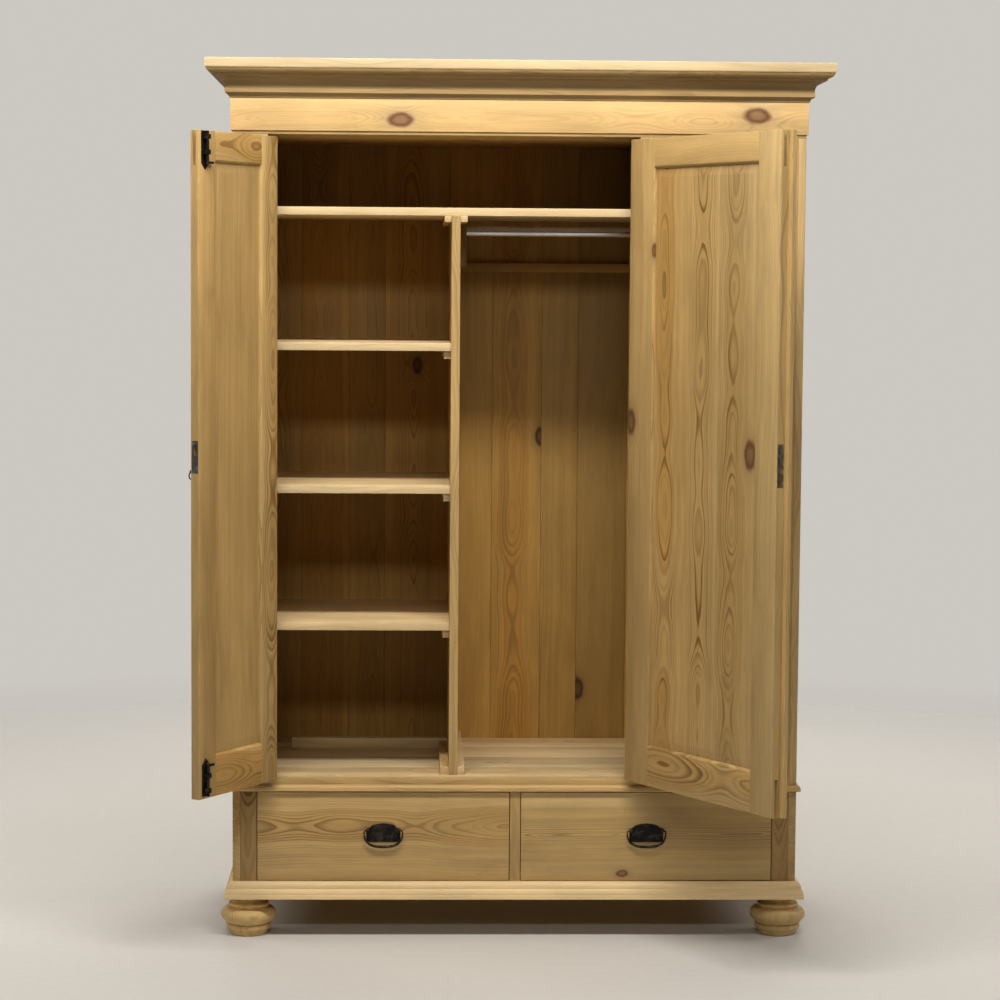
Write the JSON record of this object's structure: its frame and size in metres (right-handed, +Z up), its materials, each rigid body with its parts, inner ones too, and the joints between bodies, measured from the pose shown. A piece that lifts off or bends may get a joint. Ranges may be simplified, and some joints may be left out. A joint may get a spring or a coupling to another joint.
{
  "type": "wardrobe",
  "caption": "Free-standing pine wardrobe with hinged panelled doors, shelves, a hanging space with a rail, drawers below and turned bun feet.",
  "frame": {"origin": "on the floor, below the middle of the carcass front", "axes": "+X to the right seen from the front, +Y back into the cabinet, +Z up"},
  "size_m": [1.4331, 1.0411, 2],
  "materials": {
    "waxed_pine": "waxed old pine, satin",
    "dark_pine": "dark stained pine, satin",
    "new_pine": "newer planed pine, matt",
    "black_iron": "blackened iron",
    "worn_steel": "worn bare steel",
    "rail_steel": "polished tube"
  },
  "bodies": {
    "carcass": {"feet": "waxed_pine", "base_sides": "waxed_pine", "base_back": "dark_pine", "base_bottom": "dark_pine", "front_rails": "waxed_pine", "front_posts": "waxed_pine", "drawer_partition": "new_pine", "drawer_runners": "new_pine", "base_top": "new_pine", "base_moulding": "new_pine", "waist_moulding": "waxed_pine", "side_left": "waxed_pine", "side_right": "waxed_pine", "front_stiles": "waxed_pine", "floor_boards": "new_pine", "cap_board": "waxed_pine", "frieze": "waxed_pine", "cornice_moulding": "waxed_pine", "cornice_top": "waxed_pine", "back_boards": "dark_pine", "back_rails": "dark_pine", "top_shelf": "new_pine", "divider": "new_pine", "shelves": "new_pine", "shelf_bearers": "new_pine", "cleats": "new_pine", "rail_blocks": "dark_pine", "hanging_rail": "rail_steel", "fixed_stiles": "waxed_pine", "fixed_rails": "waxed_pine", "fixed_panel": "waxed_pine", "carcass_hinges": "black_iron"},
    "left_door": {"left_stiles": "waxed_pine", "left_rails": "waxed_pine", "left_panel": "waxed_pine", "left_hinges": "black_iron", "strike_plate": "worn_steel", "bolt_plates": "black_iron", "ring_plate": "black_iron"},
    "top_bolt": {"top_bolt": "black_iron"},
    "bottom_bolt": {"bottom_bolt": "black_iron"},
    "pull_ring": {"pull_ring": "black_iron"},
    "lock_door": {"lock_stiles": "waxed_pine", "lock_rails": "waxed_pine", "lock_panel": "waxed_pine", "lock_hinges": "black_iron", "cover_strip": "waxed_pine", "lock_case": "worn_steel", "key_plate": "black_iron"},
    "lock_bolt": {"lock_bolt": "worn_steel"},
    "key": {"key": "worn_steel"},
    "drawer_left": {"drawer_left_front": "waxed_pine", "drawer_left_box": "new_pine", "handle_left_plate": "black_iron"},
    "bail_left": {"bail_left": "black_iron"},
    "drawer_right": {"drawer_right_front": "waxed_pine", "drawer_right_box": "new_pine", "handle_right_plate": "black_iron"},
    "bail_right": {"bail_right": "black_iron"}
  },
  "joints": [
    {"name": "left_door", "type": "hinge", "parent": "carcass", "child": "left_door", "pos_m": [-0.568, -0.006, 1.1], "axis": [0, 0, 1], "range_deg": [-53.5, 121.5]},
    {"name": "lock_door", "type": "hinge", "parent": "carcass", "child": "lock_door", "pos_m": [0.272, -0.006, 1.1], "axis": [0, 0, -1], "range_deg": [-53.6, 121.4]},
    {"name": "drawer_left", "type": "slide", "parent": "carcass", "child": "drawer_left", "axis": [0, -1, 0], "range_m": [0, 0.38]},
    {"name": "drawer_right", "type": "slide", "parent": "carcass", "child": "drawer_right", "axis": [0, -1, 0], "range_m": [0, 0.38]},
    {"name": "bail_left", "type": "hinge", "parent": "drawer_left", "child": "bail_left", "pos_m": [-0.30225, -0.0085, 0.25], "axis": [-1, 0, 0], "range_deg": [-5, 100]},
    {"name": "bail_right", "type": "hinge", "parent": "drawer_right", "child": "bail_right", "pos_m": [0.30225, -0.0085, 0.25], "axis": [-1, 0, 0], "range_deg": [-5, 100]},
    {"name": "top_bolt", "type": "slide", "parent": "left_door", "child": "top_bolt", "axis": [0, 0, 1], "range_m": [0, 0.013]},
    {"name": "bottom_bolt", "type": "slide", "parent": "left_door", "child": "bottom_bolt", "axis": [0, 0, -1], "range_m": [0, 0.013]},
    {"name": "pull_ring", "type": "hinge", "parent": "left_door", "child": "pull_ring", "pos_m": [-0.72138, -0.24099, 1.088], "axis": [0.5225, 0.8526, 0], "range_deg": [0, 80]},
    {"name": "key", "type": "hinge", "parent": "lock_door", "child": "key", "pos_m": [0.52086, -0.44633, 1.122], "axis": [-0.8536, -0.521, 0], "range_deg": [0, 90]},
    {"name": "lock_bolt", "type": "slide", "parent": "lock_door", "child": "lock_bolt", "axis": [0.521, -0.8536, 0], "range_m": [0, 0.0115]}
  ],
  "couplings": [
    {"joint": "lock_bolt", "follows": "key", "m_per_rad": 0.0063662}
  ]
}
